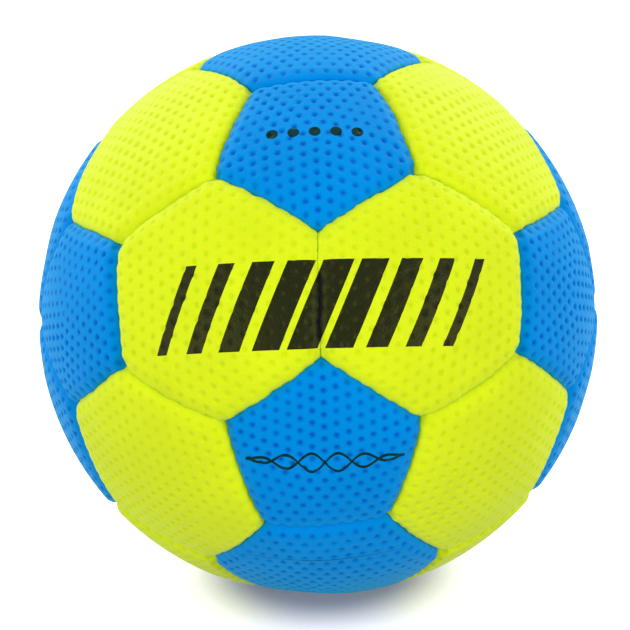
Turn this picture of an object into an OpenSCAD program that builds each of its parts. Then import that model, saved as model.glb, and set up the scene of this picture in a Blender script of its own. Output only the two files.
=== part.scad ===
// A stitched indoor handball: 32 foam-backed panels, 12 of five sides and 20 of six, sewn over an air bladder.
// The ball's centre is the origin, +Z is up and the front is -Y. All lengths are in millimetres.
// Each seam lies in a plane through the centre, and the ball stands on the middle of a six-sided panel.

/* [Ball] */
// Circumference of the inflated ball
ball_girth = 590; // [580:1:600]

/* [Cover] */
// Thickness of the foamed cover
cover_t = 2.4; // [1.8:0.1:3]
// Thickness of the woven lining under the cover
lining_t = 0.9; // [0.5:0.1:1.2]
// Bond line between layers that are glued
bond_gap = 0.1; // [0.05:0.05:0.2]
// Rounding of a panel where it rolls down into the seam
shoulder_r = 3; // [2.4:0.1:3.4]
// Depth from the ball's surface to the bottom of the seam's groove
groove_depth = 1.9; // [1.5:0.1:2.2]
// Depth from the ball's surface to the cut edge of the turned-in rims
rim_depth = 6.6; // [6.2:0.1:7.4]

/* [Stitching] */
// Diameter of the waxed thread
thread_d = 0.9; // [0.6:0.1:1]
// Distance between stitches
stitch_pitch = 4.4; // [4:0.1:4.6]
// Number of stitches in one seam
stitch_count = 7; // [3:2:7]
// Depth from the ball's surface to the row of stitches
stitch_depth = 4.9; // [4.6:0.1:5.2]
// Gap between the thread and the rims, all round
thread_gap = 0.1; // [0.05:0.05:0.15]

/* [Bladder] */
// Wall of the bladder
bladder_t = 1.1; // [0.7:0.1:1.6]
// Gap between the bladder and the rims
bladder_gap = 0.3; // [0.2:0.1:0.6]
// Diameter of the patch that balances the valve, inside the bladder
balance_d = 40; // [30:1:50]
// Thickness of that patch
balance_t = 1.5; // [1:0.1:2]

/* [Valve] */
// Diameter of the valve's stem, which shows in its panel
stem_d = 8; // [7:0.5:10]
// Gap between the stem and the holes that it passes through
stem_gap = 0.2; // [0.1:0.05:0.4]
// How far the stem's end lies under the ball's surface
stem_recess = 0.5; // [0.2:0.1:1]
// Diameter of the hole that takes the pump's needle
needle_d = 2; // [1.6:0.1:2.4]
// Length of the needle's hole, without its funnel
needle_l = 3; // [2:0.5:4]
// Diameter of the funnel that leads the needle in
mouth_d = 3.6; // [2.8:0.1:4.4]
// Diameter of the flange that is bonded to the bladder
flange_d = 24; // [18:1:30]
// Thickness of the flange
flange_t = 0.9; // [0.6:0.1:1.2]
// Diameter of the part of the valve that stands inside the bladder
boss_d = 11; // [9.5:0.5:14]
// Length of that part, from the bladder's outside
boss_l = 13; // [10:1:16]
// Diameter of the sealing plug
plug_d = 5.4; // [4.6:0.1:6]
// Gap between the plug and its chamber
plug_gap = 0.1; // [0.05:0.05:0.2]
// Width of the slit that the needle parts
slit_w = 0.3; // [0.2:0.1:0.5]
// Length of the slit, across the plug
slit_l = 3; // [2:0.2:4]
// Floor of the plug's chamber
chamber_floor = 1.5; // [1:0.1:2]
// Diameter of the air hole in that floor
air_d = 2.8; // [2.5:0.1:3.4]
// Diameter of the reinforcing patch round the valve
patch_d = 30; // [24:1:36]
// Thickness of the patch
patch_t = 0.6; // [0.4:0.1:0.8]

/* [Hidden] */
$fn = 96;
BLUE = "dodgerblue";
YELLOW = "greenyellow";
LINEN = "ivory";
THREAD = "gold";
LATEX = "salmon";
RUBBER = "dimgray";

golden = (1 + sqrt(5)) / 2;
ball_r = ball_girth / (2 * PI);
lining_r = ball_r - cover_t - bond_gap;
lining_side = cover_t + bond_gap;
rim_r = ball_r - rim_depth;
bladder_r = rim_r - bladder_gap;
// How far a cutting solid runs past what it cuts, and how far one reaches that cuts to the end
overrun_share = 0.02;
overrun = overrun_share * ball_r;
reach = 2 * ball_r;

// The corners of a truncated icosahedron lie this many edge lengths from its centre
corners_per_edge = sqrt(58 + 18 * sqrt(5)) / 4;
half_seam = asin(1 / (2 * corners_per_edge));
// Angles at the centre from the middle of an n-sided panel to its corners and to the middles of its seams
function corner_angle(n) = asin(1 / (2 * sin(180 / n) * corners_per_edge));
function seam_angle(n) = atan(tan(corner_angle(n)) * cos(180 / n));

// The shoulder's circle passes through the groove's bottom and rises past the ball's surface by this share of itself
rise_share = 0.005;
groove_r = ball_r - groove_depth;
shoulder_out = ball_r - shoulder_r * (1 - rise_share);
shoulder_x = (groove_r ^ 2 + shoulder_out ^ 2 - shoulder_r ^ 2) / (2 * groove_r);
shoulder_z = sqrt(shoulder_out ^ 2 - shoulder_x ^ 2);
shoulder_sweep = half_seam + atan(2 * shoulder_z / ball_r);

stitch_r = ball_r - stitch_depth;
stitch_step = stitch_pitch / stitch_r * 180 / PI;
stitch_angles = [for (j = [0 : stitch_count - 1]) (j - (stitch_count - 1) / 2) * stitch_step];
// The thread is pulled thinner in its holes. Its two runs are pressed flat on the linings, with a section
// in shares of the thread's radius, and go on past the last stitch by a share of the pitch.
pulled_share = 0.88;
run_shares = [[-1, 0], [1, 0], [1, 0.6], [0.6, 1.3], [-0.6, 1.3], [-1, 0.6]];
tail_share = 0.25;
run_flat = lining_side + lining_t + thread_gap;
run_z = run_flat + run_shares[2][1] * thread_d / 2;
run_sweep = stitch_angles[stitch_count - 1] + tail_share * stitch_step;

stem_top = ball_r - stem_recess;
mouth_h = (mouth_d - needle_d) / 2;
chamber_top = stem_top - mouth_h - needle_l;
boss_end = bladder_r - boss_l;
chamber_bottom = boss_end + chamber_floor;
patch_r = lining_r - lining_t - bond_gap;
balance_r = bladder_r - bladder_t - bond_gap;

// Each panel's name, number of sides, colour, direction from the centre, and direction towards one of its corners
PANELS = [
    for (s = [-1, 1], t = [-1, 1]) each [
        [str("pentagon_", s < 0 ? "front" : "back", t < 0 ? "_lower" : "_upper"),
            5, BLUE, [0, s * golden, t], [0, 0, -t]],
        [str("pentagon_", s < 0 ? "left" : "right", t < 0 ? "_front" : "_back"),
            5, BLUE, [s * golden, t, 0], [0, -t, 0]],
        [str("pentagon_", t < 0 ? "bottom" : "top", s < 0 ? "_left" : "_right"),
            5, YELLOW, [s, 0, t * golden], [-s, 0, 0]],
        [str("hexagon_", t < 0 ? "front" : "back", s < 0 ? "_left" : "_right"),
            6, YELLOW, [s / golden, t * golden, 0], [0, 0, 1]],
        [str("hexagon_", t < 0 ? "bottom" : "top", s < 0 ? "_front" : "_back"),
            6, BLUE, [0, s / golden, t * golden], [1, 0, 0]],
        [str("hexagon_", s < 0 ? "left" : "right", t < 0 ? "_lower" : "_upper"),
            6, BLUE, [s * golden, 0, t / golden], [0, 1, 0]],
        for (u = [-1, 1])
            [str("hexagon_", u < 0 ? "front" : "back", t < 0 ? "_lower" : "_upper", s < 0 ? "_left" : "_right"),
                6, YELLOW, [s, u, t], [-s * golden, u / golden, t]]
    ]
];
VALVE_PANEL = [for (p = PANELS) if (p[0] == "pentagon_back_upper") p][0];
// Two panels share a seam where the angle between them is the sum of their seam angles, to a degree
angle_slack = 1;
function angle_between(a, b) = acos(a * b / (norm(a) * norm(b)));
function joined(p, q) = abs(angle_between(p[3], q[3]) - seam_angle(p[1]) - seam_angle(q[1])) < angle_slack;
SEAMS = [
    for (i = [0 : len(PANELS) - 2], j = [i + 1 : len(PANELS) - 1])
        if (joined(PANELS[i], PANELS[j])) [PANELS[i], PANELS[j]]
];

INNER_NODES = [
    "hexagon_linings", "pentagon_linings", "hexagon_seam_threads", "pentagon_seam_threads",
    "bladder", "balance_patch", "valve_patch", "valve_body", "valve_plug"
];

// Turns +Z to a direction from the centre, and +X to the side where another direction lies
module stand(axis, toward) {
    z = axis / norm(axis);
    across = toward - (toward * z) * z;
    x = across / norm(across);
    y = cross(z, x);
    rotate([-seam_angle(6), 0, 0])
        multmatrix([
            [x[0], y[0], z[0], 0],
            [x[1], y[1], z[1], 0],
            [x[2], y[2], z[2], 0]
        ])
            children();
}

// A panel's own frame: +Z through its middle, +X towards a corner
module at_panel(p) {
    stand(p[3], p[4]) children();
}

// A seam's own frame, from its panel's: +X through the seam's middle, +Z square to its plane and into the panel
module at_seam(n) {
    rotate([0, seam_angle(n) - 90, 0]) children();
}

module at_seam_number(n, k) {
    rotate([0, 0, (k - 0.5) * 360 / n]) at_seam(n) children();
}

module at_seams(n) {
    for (k = [1 : n])
        at_seam_number(n, k) children();
}

// A ball whose poles lie outside the panel that is cut from it
module ball(r) {
    rotate([90, 0, 0]) sphere(r);
}

// The piece of a ball that lies between the planes of a panel's seams, each plane moved in by an inset
module core(n, r, inset) {
    difference() {
        ball(r);
        at_seams(n)
            translate([-reach, -reach, inset - reach])
                cube([2 * reach, 2 * reach, reach]);
    }
}

// A panel layer: a dished skin with its rims turned in along the seams
module tray(n, r, inset, wall) {
    difference() {
        core(n, r, inset);
        core(n, r - wall, inset + wall);
        ball(rim_r);
    }
}

// What is cut from a panel's edge to round its shoulder
module shoulder_cut() {
    rotate([0, 0, -shoulder_sweep])
        rotate_extrude(angle = 2 * shoulder_sweep)
            difference() {
                translate([groove_r, -overrun])
                    square([groove_depth + overrun, overrun + shoulder_z]);
                translate([shoulder_x, shoulder_z])
                    circle(shoulder_r);
            }
}

// A panel's cover with its first k edges rounded, one after another
module rounded_tray(n, k) {
    if (k == 0)
        tray(n, ball_r, 0, cover_t);
    else
        difference() {
            rounded_tray(n, k - 1);
            at_seam_number(n, k) shoulder_cut();
        }
}

module stitch_holes() {
    for (a = stitch_angles)
        rotate([0, 0, a])
            translate([stitch_r, 0, -overrun])
                cylinder(d = thread_d * pulled_share + 2 * thread_gap, h = lining_side + lining_t + 2 * overrun);
}

module stem_hole() {
    cylinder(d = stem_d + 2 * stem_gap, h = reach);
}

// A disc with the ball's curve, between two radii
module dished_disc(r_in, r_out, d) {
    difference() {
        intersection() {
            ball(r_out);
            cylinder(d = d, h = reach);
        }
        ball(r_in);
    }
}

module cover_panel(p) {
    color(p[2])
        at_panel(p)
            difference() {
                rounded_tray(p[1], p[1]);
                at_seams(p[1]) stitch_holes();
                if (p == VALVE_PANEL) stem_hole();
            }
}

module linings(n) {
    color(LINEN)
        for (p = PANELS)
            if (p[1] == n)
                at_panel(p)
                    difference() {
                        tray(n, lining_r, lining_side, lining_t);
                        at_seams(n) stitch_holes();
                        if (p == VALVE_PANEL) stem_hole();
                    }
}

// One seam's thread: two runs along the linings, joined by the stitches through the rims
module seam_thread() {
    for (side = [0, 1])
        mirror([0, 0, side])
            rotate([0, 0, -run_sweep])
                rotate_extrude(angle = 2 * run_sweep)
                    translate([stitch_r, run_flat])
                        polygon(run_shares * thread_d / 2);
    for (a = stitch_angles)
        rotate([0, 0, a])
            translate([stitch_r, 0, 0])
                cylinder(d = thread_d * pulled_share, h = 2 * run_z, center = true);
}

// The threads of all the seams whose smaller panel has n sides
module seam_threads(n) {
    color(THREAD)
        for (s = SEAMS)
            if (min(s[0][1], s[1][1]) == n)
                stand(s[0][3], s[1][3])
                    at_seam(s[0][1]) seam_thread();
}

module bladder() {
    color(LATEX)
        at_panel(VALVE_PANEL)
            difference() {
                ball(bladder_r);
                ball(bladder_r - bladder_t);
                cylinder(d = boss_d + 2 * bond_gap, h = reach);
            }
}

module balance_patch() {
    color(LATEX)
        at_panel(VALVE_PANEL)
            mirror([0, 0, 1])
                dished_disc(balance_r - balance_t, balance_r, balance_d);
}

module valve_patch() {
    color(RUBBER)
        at_panel(VALVE_PANEL)
            difference() {
                dished_disc(patch_r - patch_t, patch_r, patch_d);
                stem_hole();
            }
}

module valve_body() {
    color(RUBBER)
        at_panel(VALVE_PANEL)
            difference() {
                union() {
                    dished_disc(bladder_r + bond_gap, bladder_r + bond_gap + flange_t, flange_d);
                    translate([0, 0, boss_end])
                        cylinder(d = boss_d, h = boss_l + bond_gap);
                    translate([0, 0, boss_end])
                        cylinder(d = stem_d, h = stem_top - boss_end);
                }
                translate([0, 0, chamber_bottom])
                    cylinder(d = plug_d + 2 * plug_gap, h = chamber_top - chamber_bottom);
                translate([0, 0, boss_end - overrun])
                    cylinder(d = air_d, h = chamber_floor + 2 * overrun);
                translate([0, 0, chamber_top - overrun])
                    cylinder(d = needle_d, h = needle_l + 2 * overrun);
                translate([0, 0, stem_top - mouth_h])
                    cylinder(d1 = needle_d, d2 = mouth_d + 2 * mouth_h, h = 2 * mouth_h);
            }
}

module valve_plug() {
    color("black")
        at_panel(VALVE_PANEL)
            difference() {
                translate([0, 0, chamber_bottom + plug_gap])
                    cylinder(d = plug_d, h = chamber_top - chamber_bottom - 2 * plug_gap);
                translate([-slit_l / 2, -slit_w / 2, boss_end])
                    cube([slit_l, slit_w, reach]);
            }
}

for (p = PANELS)
    cover_panel(p);
linings(6);  // hexagon_linings
linings(5);  // pentagon_linings
seam_threads(6);  // hexagon_seam_threads
seam_threads(5);  // pentagon_seam_threads
bladder();
balance_patch();
valve_patch();
valve_body();
valve_plug();
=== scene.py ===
"""A stitched indoor handball of dimpled blue and yellow panels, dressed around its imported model.

Lengths are in metres. The ball's centre is the origin, the front is -Y and +Z is up.
"""
import math

import bpy
import numpy as np
from mathutils import Matrix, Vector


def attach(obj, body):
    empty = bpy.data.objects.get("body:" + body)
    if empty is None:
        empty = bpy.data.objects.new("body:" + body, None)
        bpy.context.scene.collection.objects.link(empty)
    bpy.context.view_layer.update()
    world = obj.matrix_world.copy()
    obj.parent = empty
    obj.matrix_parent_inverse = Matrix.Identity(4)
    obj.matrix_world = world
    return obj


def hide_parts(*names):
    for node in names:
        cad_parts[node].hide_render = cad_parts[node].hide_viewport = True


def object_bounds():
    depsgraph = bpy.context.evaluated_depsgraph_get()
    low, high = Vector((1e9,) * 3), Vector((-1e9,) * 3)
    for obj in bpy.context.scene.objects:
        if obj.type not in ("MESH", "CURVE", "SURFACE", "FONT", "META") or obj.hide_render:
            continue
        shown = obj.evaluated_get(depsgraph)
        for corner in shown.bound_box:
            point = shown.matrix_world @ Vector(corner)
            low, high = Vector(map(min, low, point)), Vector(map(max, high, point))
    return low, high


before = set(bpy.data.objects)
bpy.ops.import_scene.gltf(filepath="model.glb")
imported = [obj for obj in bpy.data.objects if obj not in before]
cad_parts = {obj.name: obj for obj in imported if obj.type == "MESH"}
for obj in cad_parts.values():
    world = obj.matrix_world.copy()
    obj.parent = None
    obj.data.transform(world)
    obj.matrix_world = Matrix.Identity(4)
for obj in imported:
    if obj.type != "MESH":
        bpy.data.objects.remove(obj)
cad_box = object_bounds()
MM = 0.001

# The bladder, a moulded latex balloon that holds the air, and the disc of the same latex glued inside
# it to balance the valve. Both are cloudy and a little dusty with talc. The grain group that dulls them
# serves every other finish too.

# How many finer layers the grain's lumps have, how many patches of shade there are to a metre, and the two
# values of the patches' noise between which a finish goes from its darker shade to its full colour
LUMP_DETAIL = 3
PATCH_SCALE = 45
PATCH_DARK, PATCH_FULL = 0.35, 0.65


def grain_group():
    """A fine uneven surface: soft lumps from a noise, less the distance to the nearest of many points."""
    group = bpy.data.node_groups.new("grain", "ShaderNodeTree")
    group.interface.new_socket("Scale", in_out="INPUT", socket_type="NodeSocketFloat")
    group.interface.new_socket("Height", in_out="OUTPUT", socket_type="NodeSocketFloat")
    group.interface.new_socket("Patches", in_out="OUTPUT", socket_type="NodeSocketFloat")
    nodes, links = group.nodes, group.links
    given, out = nodes.new("NodeGroupInput"), nodes.new("NodeGroupOutput")
    place = nodes.new("ShaderNodeTexCoord")
    lumps, pores, patches = (nodes.new("ShaderNodeTex" + kind) for kind in ("Noise", "Voronoi", "Noise"))
    lumps.inputs["Detail"].default_value = LUMP_DETAIL
    patches.inputs["Scale"].default_value = PATCH_SCALE
    for texture in (lumps, pores, patches):
        links.new(place.outputs["Object"], texture.inputs["Vector"])
    for texture in (lumps, pores):
        links.new(given.outputs["Scale"], texture.inputs["Scale"])
    height = nodes.new("ShaderNodeMath")
    height.operation = "SUBTRACT"
    links.new(lumps.outputs["Fac"], height.inputs[0])
    links.new(pores.outputs["Distance"], height.inputs[1])
    links.new(height.outputs[0], out.inputs["Height"])
    links.new(patches.outputs["Fac"], out.inputs["Patches"])
    return group


GRAIN = grain_group()


def finish(name, colour, roughness, grain_scale, grain_depth, shade=0.9):
    """A material that drifts in patches from a colour to a darker shade of it, with grain in its normals."""
    material = bpy.data.materials.new(name)
    material.use_nodes = True
    nodes, links = material.node_tree.nodes, material.node_tree.links
    shader = nodes["Principled BSDF"]
    shader.inputs["Roughness"].default_value = roughness
    grain, bump, ramp = (nodes.new("ShaderNode" + kind) for kind in ("Group", "Bump", "ValToRGB"))
    grain.node_tree = GRAIN
    grain.inputs["Scale"].default_value = grain_scale
    bump.inputs["Distance"].default_value = grain_depth
    low, high = ramp.color_ramp.elements
    low.position, high.position = PATCH_DARK, PATCH_FULL
    low.color = [c * shade for c in colour] + [1]
    high.color = [*colour, 1]
    links.new(grain.outputs["Patches"], ramp.inputs["Fac"])
    links.new(ramp.outputs["Color"], shader.inputs["Base Color"])
    links.new(grain.outputs["Height"], bump.inputs["Height"])
    links.new(bump.outputs["Normal"], shader.inputs["Normal"])
    return material


def dress(node, material):
    """Gives a carried-over node a material in place of its plain one."""
    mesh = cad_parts[node].data
    mesh.materials.clear()
    mesh.materials.append(material)


latex = finish("latex", (0.56, 0.24, 0.15), roughness=0.45, grain_scale=700, grain_depth=0.03 * MM, shade=0.8)
dress("bladder", latex)
dress("balance_patch", latex)

# The valve: a black rubber moulding bonded to the bladder, the soft plug that seals round the needle,
# and the patch that strengthens the panel. Only the stem's end shows, in its hole at the back.
black_rubber = finish("black_rubber", (0.012, 0.012, 0.014), roughness=0.55, grain_scale=1500,
                      grain_depth=0.02 * MM)
dress("valve_body", black_rubber)
dress("valve_patch", black_rubber)
dress("valve_plug", finish("soft_plug", (0.006, 0.006, 0.006), roughness=0.7, grain_scale=2500,
                           grain_depth=0.01 * MM))

# The linings, a plain woven cloth of polyester and cotton that is glued inside each panel and turned in
# with it, so that the cover can't stretch.


def add_weave(material, pitch, depth):
    """Lays a plain weave over the grain: the sum of sin * sin over each pair of axes, to show on any face."""
    nodes, links = material.node_tree.nodes, material.node_tree.links
    place, scale, sines, turned, bump = (nodes.new("ShaderNode" + kind) for kind in (
        "TexCoord", "Mapping", "VectorMath", "VectorMath", "Bump"))
    scale.inputs["Scale"].default_value = [2 * math.pi / pitch] * 3
    links.new(place.outputs["Object"], scale.inputs["Vector"])
    sines.operation = "SINE"
    links.new(scale.outputs["Vector"], sines.inputs[0])
    # The same three sines in the next axes' places, so that the dot product pairs x with y, y with z and so on
    apart, joined = nodes.new("ShaderNodeSeparateXYZ"), nodes.new("ShaderNodeCombineXYZ")
    links.new(sines.outputs[0], apart.inputs[0])
    for here, there in zip("XYZ", "YZX"):
        links.new(apart.outputs[there], joined.inputs[here])
    turned.operation = "DOT_PRODUCT"
    links.new(sines.outputs[0], turned.inputs[0])
    links.new(joined.outputs[0], turned.inputs[1])
    bump.inputs["Distance"].default_value = depth
    links.new(turned.outputs["Value"], bump.inputs["Height"])
    shader = nodes["Principled BSDF"]
    links.new(shader.inputs["Normal"].links[0].from_socket, bump.inputs["Normal"])
    links.new(bump.outputs["Normal"], shader.inputs["Normal"])
    return material


lining_cloth = add_weave(
    finish("lining_cloth", (0.72, 0.68, 0.6), roughness=0.85, grain_scale=2200, grain_depth=0.05 * MM),
    pitch=0.9 * MM, depth=0.08 * MM)
dress("hexagon_linings", lining_cloth)
dress("pentagon_linings", lining_cloth)

# The thread, waxed polyester of five strands. Its stitches pass through the turned-in rims of two panels
# at a time, and its runs lie along the linings, so that none of it shows when the seam is pulled shut.
waxed_thread = add_weave(
    finish("waxed_thread", (0.6, 0.68, 0.08), roughness=0.4, grain_scale=3000, grain_depth=0.03 * MM),
    pitch=0.6 * MM, depth=0.1 * MM)
dress("hexagon_seam_threads", waxed_thread)
dress("pentagon_seam_threads", waxed_thread)

# The cover: 32 panels of foam-backed polyurethane leather. Each is cut flat and embossed with dimples in
# rings round its middle, then sewn to its neighbours inside out with its rims turned in, so that its
# edges roll down into the seams and the air inside rounds it out.
BALL_R = (cad_box[1][2] - cad_box[0][2]) / 2
COVER_T = 2.4 * MM
# How far from the ball's centre the turned-in rims end
RIM_R = BALL_R - 6.6 * MM
# How deep a seam lies under the ball's surface, and how wide the leather's shoulder beside it is
GROOVE = 2.1 * MM
SHOULDER = 5.2 * MM
# How far round its ellipse a shoulder goes, and how steeply two shoulders add up where they meet at a corner
SHOULDER_SHARE = 0.93
SHOULDER_POWER = 3
# The air makes a panel rounder than the ball. By the middle of a seam, beside the shoulder, its face lies this
# much lower, and it goes on falling to the corners, at most this many times as far out as the seam.
PILLOW = 0.3 * MM
PILLOW_REACH = 1.2
# The dip where three panels meet, pulled in by the ends of three seams' threads
PIT_R = 3.2 * MM
PIT_DEPTH = 1.1 * MM
# From one stitch to the next, and the share by which each draws the groove deeper
PUCKER_PITCH = 4.4 * MM
PUCKER_SHARE = 0.1
# The golden ratio, which places the middles of the panels, and how far their corners lie from the centre of a
# flat-sided ball with edges of one
GOLDEN = (1 + math.sqrt(5)) / 2
CORNERS_PER_EDGE = math.sqrt(58 + 18 * math.sqrt(5)) / 4
# Rings of triangles from a panel's middle to its seams, and rings of its inside as shares of its reach
FINE = 78
DISH_SHARES = (0.86, 0.7, 0.52, 0.34, 0.16)
# The distance between dimples along each ring, by the panel's number of sides
DIMPLE_STEP = {5: 3.88 * MM, 6: 4.45 * MM}
DIMPLE_R = 1.45 * MM
DIMPLE_DEPTH = 0.64 * MM
# Some dimples are up to twice this share shallower, by a sine of their place along the two corner directions
DIMPLE_UNEVEN = 0.14
DIMPLE_TURNS = (12.9, 7.3)
# The plain ring round the valve's hole, and the hole
BARE_R = 6.8 * MM
STEM_HOLE_R = 4.2 * MM
# How much of a dimple's depth is lost at the bottom of a seam
DIMPLE_WORN = 0.72
# The leather's two colours
LEATHER = {"blue": (0, 0.268, 0.79), "yellow": (0.77, 0.925, 0.011)}
# Painted shade: the shares of its red, green and blue that the leather keeps at the bottom of a dimple, and in
# the fold line, standing in for the shade that falls there
DIMPLE_PAINTED_SHADE = {"blue": (1, 0.28, 0.62), "yellow": (0.81, 0.87, 0.05)}
FOLD_PAINTED_SHADE = 0.2
LEATHER_ROUGHNESS = 0.6
LEATHER_GRAIN = {"grain_scale": 1900, "grain_depth": 0.07 * MM, "shade": 0.94}
# How strongly the leather's face gleams, and how strongly its fine nap glows towards the ball's edge, each
# with its tint
LEATHER_GLEAM = {"blue": (0.2, (0, 0.8, 1)), "yellow": (0.2, (1, 1, 0.1))}
LEATHER_NAP = {"blue": (0.18, (0, 1, 0.8)), "yellow": (0.12, (0.7, 0.7, 1))}
INK = (0.002, 0.005, 0.003)
INK_ROUGHNESS = 0.42


def corner_angle(n):
    """The angle at the ball's centre from the middle of an n-sided panel to a corner."""
    return math.asin(1 / (2 * math.sin(math.pi / n) * CORNERS_PER_EDGE))


def seam_angle(n):
    """The angle at the ball's centre from the middle of an n-sided panel to the middle of a seam."""
    return math.atan(math.tan(corner_angle(n)) * math.cos(math.pi / n))


def unit(v):
    """Vectors brought to a length of one."""
    return v / np.linalg.norm(v, axis=-1, keepdims=True)


def tilted(v):
    """A direction of the panels' own layout, turned about X so that the middle of a hexagon is on top."""
    x, y, z = v
    c, s = math.cos(seam_angle(6)), math.sin(seam_angle(6))
    return np.array([x, y * c + z * s, z * c - y * s])


def panel_table():
    """Each panel's name, sides, colour, direction from the centre and direction towards one of its corners."""
    rows = []
    for s in (-1, 1):
        for t in (-1, 1):
            front, left = ("front", "left") if s < 0 else ("back", "right")
            near, lower, bottom = ("front", "lower", "bottom") if t < 0 else ("back", "upper", "top")
            rows += [
                (f"pentagon_{front}_{lower}", 5, "blue", (0, s * GOLDEN, t), (0, 0, -t)),
                (f"pentagon_{left}_{near}", 5, "blue", (s * GOLDEN, t, 0), (0, -t, 0)),
                (f"pentagon_{bottom}_{left}", 5, "yellow", (s, 0, t * GOLDEN), (-s, 0, 0)),
                (f"hexagon_{near}_{left}", 6, "yellow", (s / GOLDEN, t * GOLDEN, 0), (0, 0, 1)),
                (f"hexagon_{bottom}_{front}", 6, "blue", (0, s / GOLDEN, t * GOLDEN), (1, 0, 0)),
                (f"hexagon_{left}_{lower}", 6, "blue", (s * GOLDEN, 0, t / GOLDEN), (0, 1, 0)),
            ]
            rows += [(f"hexagon_{side}_{lower}_{left}", 6, "yellow", (s, u, t), (-s * GOLDEN, u / GOLDEN, t))
                     for u, side in ((-1, "front"), (1, "back"))]
    return rows


def ring_grid(n):
    """The sector, ring and step of each point of n triangular sectors, and the triangles between the points.

    Point 0 is the middle. Ring i has i steps in each sector, so it starts at 1 + n * i * (i - 1) / 2.
    """
    rings = np.arange(1, FINE + 1)
    ring = np.repeat(rings, n * rings)
    place = np.arange(len(ring)) - n * ring * (ring - 1) // 2
    sector, step = place // ring, place % ring

    def at(i, k, j):
        """The number of the point in ring i, sector k and step j."""
        return np.where(i > 0, 1 + n * i * (i - 1) // 2 + (k * i + j) % np.maximum(n * i, 1), 0)

    outward = np.stack([at(ring, sector, step), at(ring, sector, step + 1), at(ring - 1, sector, step)], 1)
    ring_in, sector_in, step_in = (v[step < ring - 1] for v in (ring, sector, step))
    inward = np.stack([at(ring_in, sector_in, step_in + 1), at(ring_in - 1, sector_in, step_in + 1),
                       at(ring_in - 1, sector_in, step_in)], 1)
    return np.append(0, sector), np.append(0, ring), np.append(0, step), np.concatenate([outward, inward])


def dimple_share(n, way, bare):
    """How far down a dimple each direction from the centre lies, from 0 to 1, in the panel's own frame.

    The panel is laid out flat, with each point as far from its middle as it is along the ball. In each
    sector the dimples stand at whole steps along the sector's two corner directions, and a dimple's
    share falls off as (1 - (distance / radius)^2)^2. The steps' sine makes some a little shallower, and
    none stands nearer the middle than bare.
    """
    across = np.hypot(way[:, 0], way[:, 1])
    reach = BALL_R * np.arctan2(across, way[:, 2])
    angle, step = 2 * math.pi / n, DIMPLE_STEP[n]
    into = np.arctan2(way[:, 1], way[:, 0]) % angle
    x, y = reach * np.cos(into), reach * np.sin(into)
    b = y / (step * math.sin(angle))
    a = x / step - b * math.cos(angle)
    share = np.zeros(len(x))
    for i in (np.floor(a), np.ceil(a)):
        for j in (np.floor(b), np.ceil(b)):
            away = np.hypot(x - step * (i + j * math.cos(angle)), y - step * j * math.sin(angle))
            full = 1 - DIMPLE_UNEVEN + DIMPLE_UNEVEN * np.sin(DIMPLE_TURNS[0] * i + DIMPLE_TURNS[1] * j)
            share = np.maximum(share, full * np.clip(1 - (away / DIMPLE_R) ** 2, 0, 1) ** 2)
    return np.where(reach > bare, share, 0)


def seam_frames(n):
    """For each of a panel's seams: the way into the panel square to its plane, to its middle, and along it."""
    turns = (np.arange(n) + 0.5) * 2 * math.pi / n
    c, s = math.cos(seam_angle(n)), math.sin(seam_angle(n))
    inward = np.stack([-c * np.cos(turns), -c * np.sin(turns), np.full(n, s)], 1)
    middle = np.stack([s * np.cos(turns), s * np.sin(turns), np.full(n, c)], 1)
    return inward, middle, np.cross(inward, middle)


def outside(n, way, bare):
    """A panel's outside in each direction: its radius, which is the ball's less pillow, shoulders, pits and
    dimples, how far down its shoulders it lies, and how far down a dimple.

    Each shoulder is most of a quarter of an ellipse, GROOVE deep at the seam and SHOULDER wide, and its
    depth puckers at every stitch. The pillow grows as the fourth power of the way from the middle to a seam,
    and a pit falls off from its corner as (1 - (distance / radius)^2)^2.
    """
    inward, middle, along = seam_frames(n)
    rise = SHOULDER_SHARE * np.clip(1 - BALL_R * way @ inward.T / SHOULDER, 0, 1)
    travel = BALL_R * np.arctan2(way @ along.T, way @ middle.T)
    drop = (1 - np.sqrt(1 - rise**2)) / (1 - math.sqrt(1 - SHOULDER_SHARE**2))
    drop = drop * (1 + PUCKER_SHARE * np.cos(2 * math.pi * travel / PUCKER_PITCH))
    drop = (drop**SHOULDER_POWER).sum(1) ** (1 / SHOULDER_POWER)
    reach = np.arctan2(np.hypot(way[:, 0], way[:, 1]), way[:, 2]) / seam_angle(n)
    turns = np.arange(n) * 2 * math.pi / n
    out, up = math.sin(corner_angle(n)), math.cos(corner_angle(n))
    corners = np.stack([out * np.cos(turns), out * np.sin(turns), np.full(n, up)])
    away = BALL_R * np.arccos(np.clip((way @ corners).max(1), -1, 1))
    pit = np.clip(1 - (away / PIT_R) ** 2, 0, 1) ** 2
    dimpled = dimple_share(n, way, bare) * (1 - DIMPLE_WORN * np.clip(drop, 0, 1))
    pillow = PILLOW * np.minimum(reach, PILLOW_REACH) ** 4
    radius = BALL_R - pillow - GROOVE * drop - PIT_DEPTH * pit - DIMPLE_DEPTH * dimpled
    return radius, np.clip(drop, 0, 1), dimpled


def inset_ring(n, radius, inset):
    """A ring of points at one radius, each the same distance in from the plane of the nearest seam.

    A ring's corner lies at the angle t from the panel's middle, where sin(a) cos(t) - cos(a) cos(180 / n)
    sin(t) is inset / radius, for a seam angle a.
    """
    inward, middle, along = seam_frames(n)
    up, out = math.sin(seam_angle(n)), math.cos(seam_angle(n)) * math.cos(math.pi / n)
    t = math.acos(inset / (radius * math.hypot(up, out))) - math.atan2(out, up)
    corner = np.array([math.sin(t), 0, math.cos(t)])
    k, j = np.divmod(np.arange(n * FINE), FINE)
    spread = (2 * j / FINE - 1) * abs(corner @ along[0]) / (corner @ middle[0])
    return inset * inward[k] + math.sqrt(radius**2 - inset**2) * unit(middle[k] + spread[:, None] * along[k])


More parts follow.
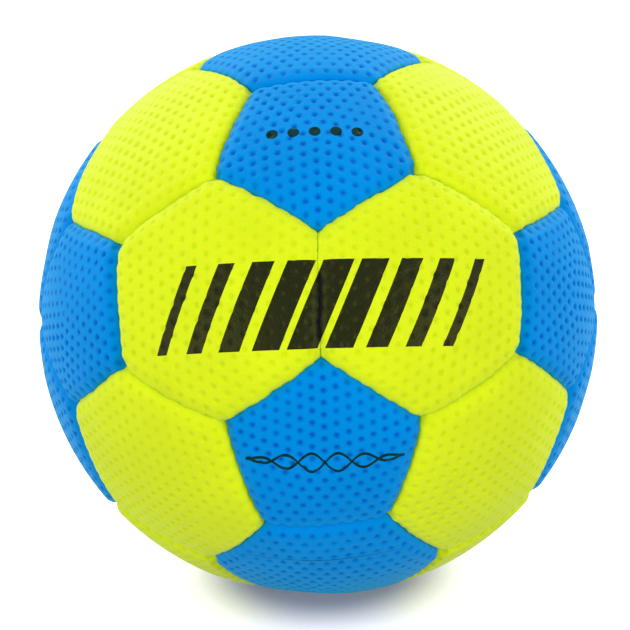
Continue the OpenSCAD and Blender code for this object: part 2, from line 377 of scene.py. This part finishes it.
def panel_shape(n, bare):
    """A whole panel in its own frame: the points of its outside and how far down the shoulders they lie, the
    points of its rims and inside, how far down a dimple every point lies, and its faces.
    """
    sector, ring, step, triangles = ring_grid(n)
    turns = np.arange(n + 1) * 2 * math.pi / n
    corners = math.tan(corner_angle(n)) * np.stack([np.cos(turns), np.sin(turns)], 1)
    share = (step / np.maximum(ring, 1))[:, None]
    flat = ring[:, None] / FINE * ((1 - share) * corners[sector] + share * corners[sector + 1])
    way = unit(np.column_stack([flat, np.ones(len(flat))]))
    m = n * FINE
    hollow = inset_ring(n, BALL_R - COVER_T, COVER_T)
    dish = [unit(hollow * [s, s, 1]) * (BALL_R - COVER_T) for s in DISH_SHARES]
    rings = [way[-m:] * RIM_R, inset_ring(n, RIM_R, COVER_T), hollow, *dish]
    inside = np.concatenate([*rings, [[0, 0, BALL_R - COVER_T]]])
    here = np.arange(m) + len(way) - m
    then = np.roll(here, -1)
    quads = np.concatenate([np.stack([then, here, here + m, then + m], 1) + i * m for i in range(len(rings))])
    last = len(rings) * m
    fan = np.stack([then + last, here + last, np.full(m, len(way) + len(inside) - 1)], 1)
    radius, drop, dimpled = outside(n, way, bare)
    dimpled = np.append(dimpled, np.zeros(len(inside)))
    return way * radius[:, None], drop, inside, dimpled, (triangles, quads, fan)


# The lengths and heights of slow waves in the leather, so that no two panels are quite alike, and of quick ones
# along the seams, where it was pulled in stitch by stitch
SLOW_WAVES = (np.array([62, 48, 39, 31, 26, 22, 18]) * MM,
              np.array([0.26, 0.2, 0.16, 0.12, 0.09, 0.07, 0.05]) * MM)
QUICK_WAVES = np.array([9, 6.1, 4.4, 3.3, 2.6]) * MM, np.array([0.12, 0.1, 0.09, 0.08, 0.07]) * MM
# The draw whose corners come nearest to those of the ball that this one follows
WAVE_SEED = 30187
draws = np.random.default_rng(WAVE_SEED)


def wave_field(lengths, heights):
    """A function that gives each point's shift: along each axis, a sum of sines of its place."""
    ways = unit(draws.normal(size=(len(lengths), 3))) / lengths[:, None]
    turns = draws.uniform(0, 2 * math.pi, (3, len(lengths)))
    return lambda points: np.stack([
        (heights * np.sin(2 * math.pi * points @ ways.T + turn)).sum(1) for turn in turns], 1)


slow_shift, quick_shift = wave_field(*SLOW_WAVES), wave_field(*QUICK_WAVES)


def waved(points, drop):
    """Moves points by the slow waves, and by the quick ones as far as they lie down the shoulders, but never
    outside the ball.
    """
    moved = points + slow_shift(points) + drop[:, None] ** 2 * quick_shift(points)
    return moved * np.minimum(1, BALL_R / np.linalg.norm(moved, axis=1, keepdims=True))


def panel_axes(direction, corner):
    """A panel's own axes, as rows: +Z through its middle and +X towards one of its corners."""
    z = unit(tilted(direction))
    x = tilted(corner)
    x = unit(x - (x @ z) * z)
    return np.stack([x, np.cross(z, x), z])


def put_mesh(name, points, faces, smooth):
    """A new object with a mesh of the given points and arrays of faces, the first of them smooth."""
    mesh = bpy.data.meshes.new(name)
    loops = np.concatenate([f.ravel() for f in faces])
    sizes = np.concatenate([np.full(len(f), f.shape[1]) for f in faces])
    mesh.vertices.add(len(points))
    mesh.vertices.foreach_set("co", points.ravel())
    mesh.loops.add(len(loops))
    mesh.loops.foreach_set("vertex_index", loops)
    mesh.polygons.add(len(sizes))
    mesh.polygons.foreach_set("loop_start", np.cumsum(sizes) - sizes)
    mesh.polygons.foreach_set("use_smooth", np.arange(len(sizes)) < smooth)
    mesh.update(calc_edges=True)
    piece = bpy.data.objects.new(name, mesh)
    bpy.context.scene.collection.objects.link(piece)
    return piece


# How many sides the drill has, and where it starts and ends, as shares of the ball's radius
DRILL_SIDES = 64
DRILL_FROM, DRILL_TO = 0.8, 1.1


def drill(piece, axis, radius):
    """Cuts a round hole through a piece, along an axis from the ball's centre."""
    k = np.arange(DRILL_SIDES)
    then = np.roll(k, -1)
    turns = k * 2 * math.pi / DRILL_SIDES
    z = unit(axis)
    x = unit(np.cross(z, [1, 0, 0]))
    circle = radius * (np.cos(turns)[:, None] * x + np.sin(turns)[:, None] * np.cross(z, x))
    ends = np.concatenate([circle + DRILL_FROM * BALL_R * z, circle + DRILL_TO * BALL_R * z])
    side = np.stack([k, then, then + DRILL_SIDES, k + DRILL_SIDES], 1)
    cutter = put_mesh("cutter", ends, [side, k[None, ::-1], k[None] + DRILL_SIDES], 0)
    cut = piece.modifiers.new("hole", "BOOLEAN")
    cut.operation, cut.solver, cut.object = "DIFFERENCE", "EXACT", cutter
    done = bpy.data.meshes.new_from_object(piece.evaluated_get(bpy.context.evaluated_depsgraph_get()))
    piece.modifiers.clear()
    piece.data = done
    bpy.data.objects.remove(cutter)


def lay_print_map(piece, ahead, above):
    """A flat map of the panel for its print: metres along the ball from a point on it, to the right and up."""
    mesh = piece.data
    points = np.empty(3 * len(mesh.vertices), dtype=np.float32)
    mesh.vertices.foreach_get("co", points)
    index = np.empty(len(mesh.loops), dtype=np.int32)
    mesh.loops.foreach_get("vertex_index", index)
    way = unit(points.reshape(-1, 3))
    right = np.cross(above, ahead)
    flat = BALL_R * np.stack([np.arctan2(way @ right, way @ ahead), np.arcsin(np.clip(way @ above, -1, 1))], 1)
    mesh.uv_layers.new(name="print").data.foreach_set("uv", flat[index].ravel())


def maths(tree, operation, *values):
    """The output of one Math node. Each value is a number or another node's output."""
    node = tree.nodes.new("ShaderNodeMath")
    node.operation = operation
    for socket, value in zip(node.inputs, values):
        if isinstance(value, (int, float)):
            socket.default_value = value
        else:
            tree.links.new(value, socket)
    return node.outputs[0]


# The prints' sizes, in millimetres, and those of the painted fold shade. Heights, widths and rows are halves,
# from the middle to an edge, and so is the fold line's reach. The row of bars hangs a little under its map's
# middle.
# The bars lean by a share of their height, and thin by a share of their way from the middle.
BAR_DROP, BAR_LEAN, BAR_PITCH, BAR_WIDTH, BAR_THINNING = 3.4, 0.45, 11.2, 4.9, 0.07
BAR_HEIGHT, BAR_ROW = 13, 50
DOT_PITCH, DOT_R, DOT_ROW = 6.4, 1.8, 16
WAVE_LENGTH, WAVE_HEIGHT, WAVE_WIDTH, WAVE_ROW = 16, 3.2, 0.5, 24
FOLD_WIDTH, FOLD_REACH = 0.24, 30


def print_place(tree):
    """The print map's two coordinates, in millimetres."""
    uv, split = tree.nodes.new("ShaderNodeUVMap"), tree.nodes.new("ShaderNodeSeparateXYZ")
    uv.uv_map = "print"
    tree.links.new(uv.outputs["UV"], split.inputs[0])
    return maths(tree, "DIVIDE", split.outputs["X"], MM), maths(tree, "DIVIDE", split.outputs["Y"], MM)


def within(tree, value, limit):
    """1 where a value is less than a limit away from zero, and 0 elsewhere."""
    return maths(tree, "LESS_THAN", maths(tree, "ABSOLUTE", value), limit)


def bars(tree):
    """Slanted bars on one pitch, widest in the middle of the row and thinner to both sides."""
    x, y = print_place(tree)
    y = maths(tree, "ADD", y, BAR_DROP)
    slanted = maths(tree, "SUBTRACT", x, maths(tree, "MULTIPLY", y, BAR_LEAN))
    off = maths(tree, "WRAP", slanted, BAR_PITCH / 2, -BAR_PITCH / 2)
    thinned = maths(tree, "MULTIPLY", maths(tree, "ABSOLUTE", slanted), BAR_THINNING)
    bar = within(tree, off, maths(tree, "SUBTRACT", BAR_WIDTH, thinned))
    row = maths(tree, "MULTIPLY", within(tree, y, BAR_HEIGHT), within(tree, slanted, BAR_ROW))
    return maths(tree, "MULTIPLY", bar, row)


def dots(tree):
    """Five dots in a row."""
    x, y = print_place(tree)
    off = maths(tree, "WRAP", x, DOT_PITCH / 2, -DOT_PITCH / 2)
    away = maths(tree, "SQRT", maths(tree, "ADD", maths(tree, "POWER", off, 2), maths(tree, "POWER", y, 2)))
    return maths(tree, "MULTIPLY", maths(tree, "LESS_THAN", away, DOT_R), within(tree, x, DOT_ROW))


def waves(tree):
    """Two fine lines, each a sine that swells towards the middle, one the other's mirror image."""
    x, y = print_place(tree)
    swell = maths(tree, "COSINE", maths(tree, "MULTIPLY", x, math.pi / (2 * WAVE_ROW)))
    swing = maths(tree, "SINE", maths(tree, "MULTIPLY", x, 2 * math.pi / WAVE_LENGTH))
    swing = maths(tree, "MULTIPLY", swing, maths(tree, "MULTIPLY", swell, WAVE_HEIGHT))
    lines = (within(tree, maths(tree, way, y, swing), WAVE_WIDTH) for way in ("ADD", "SUBTRACT"))
    return maths(tree, "MULTIPLY", maths(tree, "MAXIMUM", *lines), within(tree, x, WAVE_ROW))


def painted_fold_line(tree):
    """A fine straight line of painted shade that fades towards both ends."""
    x, y = print_place(tree)
    away = maths(tree, "POWER", maths(tree, "DIVIDE", x, FOLD_REACH), 2)
    fade = maths(tree, "MAXIMUM", maths(tree, "SUBTRACT", 1, away), 0)
    return maths(tree, "MULTIPLY", within(tree, y, FOLD_WIDTH), fade)


def over(tree, colour, mask):
    """Lays a colour over a material's own where a mask is."""
    shader, mix = tree.nodes["Principled BSDF"], tree.nodes.new("ShaderNodeMix")
    mix.data_type = "RGBA"
    tree.links.new(mask, mix.inputs["Factor"])
    tree.links.new(shader.inputs["Base Color"].links[0].from_socket, mix.inputs["A"])
    mix.inputs["B"].default_value = [*colour, 1]
    tree.links.new(mix.outputs["Result"], shader.inputs["Base Color"])


def leather(name, colour, shape=None):
    """The cover's leather in one of its colours, with painted shade in its dimples and black ink over it where
    a printed shape is.
    """
    material = finish(name, LEATHER[colour], LEATHER_ROUGHNESS, **LEATHER_GRAIN)
    tree = material.node_tree
    shader = tree.nodes["Principled BSDF"]
    for level, hue, (strength, tint) in (("Specular IOR Level", "Specular Tint", LEATHER_GLEAM[colour]),
                                         ("Sheen Weight", "Sheen Tint", LEATHER_NAP[colour])):
        shader.inputs[level].default_value = strength
        shader.inputs[hue].default_value = [*tint, 1]
    # Painted shade: the leather is darkened by how far down a dimple each point lies
    dimple_shade_mask = tree.nodes.new("ShaderNodeAttribute")
    dimple_shade_mask.attribute_name = "dimple"
    over(tree, [c * share for c, share in zip(LEATHER[colour], DIMPLE_PAINTED_SHADE[colour])], dimple_shade_mask.outputs["Fac"])
    if shape:
        mask = shape(tree)
        over(tree, INK, mask)
        gloss = maths(tree, "MULTIPLY", mask, LEATHER_ROUGHNESS - INK_ROUGHNESS)
        tree.links.new(maths(tree, "SUBTRACT", LEATHER_ROUGHNESS, gloss), shader.inputs["Roughness"])
    return material


plain = {colour: leather(colour + "_leather", colour) for colour in LEATHER}
# Painted shade: the bottom panel in front has a fine dark line, half way between its middle and its seam,
# painted where the shade of a crease would fall
painted_fold_leather = leather("blue_leather_painted_fold", "blue")
over(painted_fold_leather.node_tree, [c * FOLD_PAINTED_SHADE for c in LEATHER["blue"]], painted_fold_line(painted_fold_leather.node_tree))
# The panels with a print or the painted fold shade: the material, and the point and the upward way that its map
# is laid from
barred = leather("yellow_leather_barred", "yellow", bars)
ahead, above = tilted((0, -1, 0)), tilted((0, 0, 1))
upper, lower, under = (unit(tilted(v)) for v in ((0, -GOLDEN, 1), (0, -GOLDEN, -1), (0, -1, -GOLDEN)))
side = np.array([1, 0, 0])
PRINTED = {
    "hexagon_front_left": (barred, ahead, above),
    "hexagon_front_right": (barred, ahead, above),
    "pentagon_front_upper": (leather("blue_leather_dotted", "blue", dots), upper, np.cross(upper, side)),
    "pentagon_front_lower": (leather("blue_leather_waved", "blue", waves), lower, np.cross(lower, side)),
    "hexagon_bottom_front": (painted_fold_leather, under, np.cross(under, side)),
}
# The panel that the valve comes up through has a shape of its own, plain round the hole
VALVE_PANEL = "pentagon_back_upper"
shapes = {n: panel_shape(n, 0) for n in (5, 6)}
for name, n, colour, direction, corner in panel_table():
    top, drop, inside, dimpled, faces = panel_shape(n, BARE_R) if name == VALVE_PANEL else shapes[n]
    axes = panel_axes(direction, corner)
    points = np.concatenate([waved(top @ axes, drop), inside @ axes])
    piece = put_mesh(name + "_cover", points, faces, len(faces[0]))
    piece.data.attributes.new("dimple", "FLOAT", "POINT").data.foreach_set("value", dimpled)
    if name == VALVE_PANEL:
        drill(piece, axes[2], STEM_HOLE_R)
    material = plain[colour]
    if name in PRINTED:
        material, *place = PRINTED[name]
        lay_print_map(piece, *place)
    piece.data.materials.append(material)
    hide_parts(name)
    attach(piece, "root")

# The light: a wide soft lamp overhead and one at each corner round the ball, in a pale room that the camera
# sees as plain white.


def lamp(name, place, size, power):
    """A square lamp that faces the ball's centre."""
    light = bpy.data.lights.new(name, "AREA")
    light.shape, light.size, light.energy = "SQUARE", size, power
    z = unit(np.array(place, dtype=float))
    x = unit(np.cross([0, 0, 1], z))
    turned = np.stack([x, np.cross(z, x), z], 1)
    holder = bpy.data.objects.new(name, light)
    holder.matrix_world = Matrix.LocRotScale(place, Matrix(turned.tolist()), None)
    bpy.context.scene.collection.objects.link(holder)


# Each lamp's place, its width and its power in watts
lamp("overhead", (-0.3, -0.2, 1.3), 1, 3.5)
lamp("back_left", (-0.9, 0.9, 1), 0.8, 8.5)
lamp("back_right", (0.9, 0.9, 1), 0.8, 9.5)
lamp("front_left", (-1.3, -1.2, 0.2), 0.6, 11.3)
lamp("front_right", (1.3, -1.2, 0.2), 0.6, 12)
# The room's light on a surface, as a share of the white that the camera sees
ROOM_LIGHT = 0.48
room = bpy.data.worlds.new("room")
room.use_nodes = True
room.node_tree.nodes["Background"].inputs["Color"].default_value = (1, 1, 1, 1)
bpy.context.scene.world = room


def seen(tree):
    """1 for what the camera sees, straight or in a gloss or through glass, and 0 for light on a surface."""
    path = tree.nodes.new("ShaderNodeLightPath")
    return maths(tree, "MAXIMUM", path.outputs["Is Camera Ray"], maths(
        tree, "MAXIMUM", path.outputs["Is Glossy Ray"], path.outputs["Is Transmission Ray"]))


strength = maths(room.node_tree, "ADD", ROOM_LIGHT, maths(
    room.node_tree, "MULTIPLY", seen(room.node_tree), 1 - ROOM_LIGHT))
room.node_tree.links.new(strength, room.node_tree.nodes["Background"].inputs["Strength"])

# The floor: a wide sheet of matt white card for the ball to stand on. It holds the ball's soft shadow, and a
# glow painted on it, weakest by the ball, makes it fade into the room's white all round it.
FLOOR_HALF = 6
FLOOR_ROUGHNESS, FLOOR_SPECULAR = 0.9, 0.1
# How white the floor is for the light that it sends on to the ball, and how white it is seen to be
FLOOR_LIGHT, FLOOR_SEEN = 0.45, 0.75
# Painted light: the white glow that the floor is seen to add to its own light, from near the point where the
# ball stands to further out. It is weakest by the ball, so it paints the edge of the ball's shadow
PAINTED_GLOW_FROM, PAINTED_GLOW_TO = 0.27 * BALL_R, 0.58 * BALL_R
PAINTED_GLOW_LEAST, PAINTED_GLOW_MOST = 0.06, 0.75
mesh = bpy.data.meshes.new("floor")
corners = [(x * FLOOR_HALF, y * FLOOR_HALF, -BALL_R) for x, y in ((-1, -1), (1, -1), (1, 1), (-1, 1))]
mesh.from_pydata(corners, [], [(0, 1, 2, 3)])
floor = bpy.data.objects.new("floor", mesh)
bpy.context.scene.collection.objects.link(floor)
paper = bpy.data.materials.new("white_floor")
paper.use_nodes = True
tree = paper.node_tree
shader = tree.nodes["Principled BSDF"]
shader.inputs["Roughness"].default_value = FLOOR_ROUGHNESS
shader.inputs["Specular IOR Level"].default_value = FLOOR_SPECULAR
white = maths(tree, "ADD", FLOOR_LIGHT, maths(tree, "MULTIPLY", seen(tree), FLOOR_SEEN - FLOOR_LIGHT))
tree.links.new(white, shader.inputs["Base Color"])
place, flat, away, clear = (tree.nodes.new("ShaderNode" + kind) for kind in (
    "TexCoord", "VectorMath", "VectorMath", "MapRange"))
flat.operation, away.operation, clear.interpolation_type = "MULTIPLY", "LENGTH", "SMOOTHSTEP"
flat.inputs[1].default_value = (1, 1, 0)
clear.inputs["From Min"].default_value, clear.inputs["From Max"].default_value = PAINTED_GLOW_FROM, PAINTED_GLOW_TO
clear.inputs["To Min"].default_value, clear.inputs["To Max"].default_value = PAINTED_GLOW_LEAST, PAINTED_GLOW_MOST
tree.links.new(place.outputs["Object"], flat.inputs[0])
tree.links.new(flat.outputs[0], away.inputs[0])
tree.links.new(away.outputs["Value"], clear.inputs["Value"])
# Painted light: the floor glows white where it is seen, less near the ball, which shapes the ball's shadow
shader.inputs["Emission Color"].default_value = (1, 1, 1, 1)
tree.links.new(maths(tree, "MULTIPLY", clear.outputs["Result"], seen(tree)), shader.inputs["Emission Strength"])
mesh.materials.append(paper)

# The camera looks down a little from in front, through a long lens, with the ball filling the frame. It is a
# degree or two off level, so that the seams lean as they do on a ball set down by hand.
CAMERA_PITCH, CAMERA_ROLL, CAMERA_YAW = math.radians(16.85), math.radians(1.75), math.radians(-0.57)
CAMERA_DISTANCE = 6.75 * BALL_R
# The picture's width, and the ball's radius and middle in it
IMAGE_PX = 630
BALL_PX = 279.8
BALL_AT_PX = (317.7, 315)
SENSOR_MM = 36


def about(axis, angle):
    """A rotation matrix about axis 0, 1 or 2."""
    a, b = (i for i in range(3) if i != axis)
    sign = -1 if axis == 1 else 1
    m = np.eye(3)
    m[a, a] = m[b, b] = math.cos(angle)
    m[b, a] = sign * math.sin(angle)
    m[a, b] = -m[b, a]
    return m


aim = about(0, -CAMERA_PITCH) @ about(1, CAMERA_ROLL) @ about(2, CAMERA_YAW)
turned = aim @ about(0, math.pi / 2)
lens = bpy.data.cameras.new("camera")
camera = bpy.data.objects.new("camera", lens)
camera.matrix_world = Matrix.LocRotScale(aim @ [0, -CAMERA_DISTANCE, 0], Matrix(turned.tolist()), None)
lens.sensor_width = SENSOR_MM
lens.lens = SENSOR_MM / IMAGE_PX * BALL_PX * math.sqrt((CAMERA_DISTANCE / BALL_R) ** 2 - 1)
lens.shift_x = (IMAGE_PX / 2 - BALL_AT_PX[0]) / IMAGE_PX
lens.shift_y = (BALL_AT_PX[1] - IMAGE_PX / 2) / IMAGE_PX
bpy.context.scene.collection.objects.link(camera)
bpy.context.scene.camera = camera
bpy.context.scene.view_settings.view_transform = "Standard"
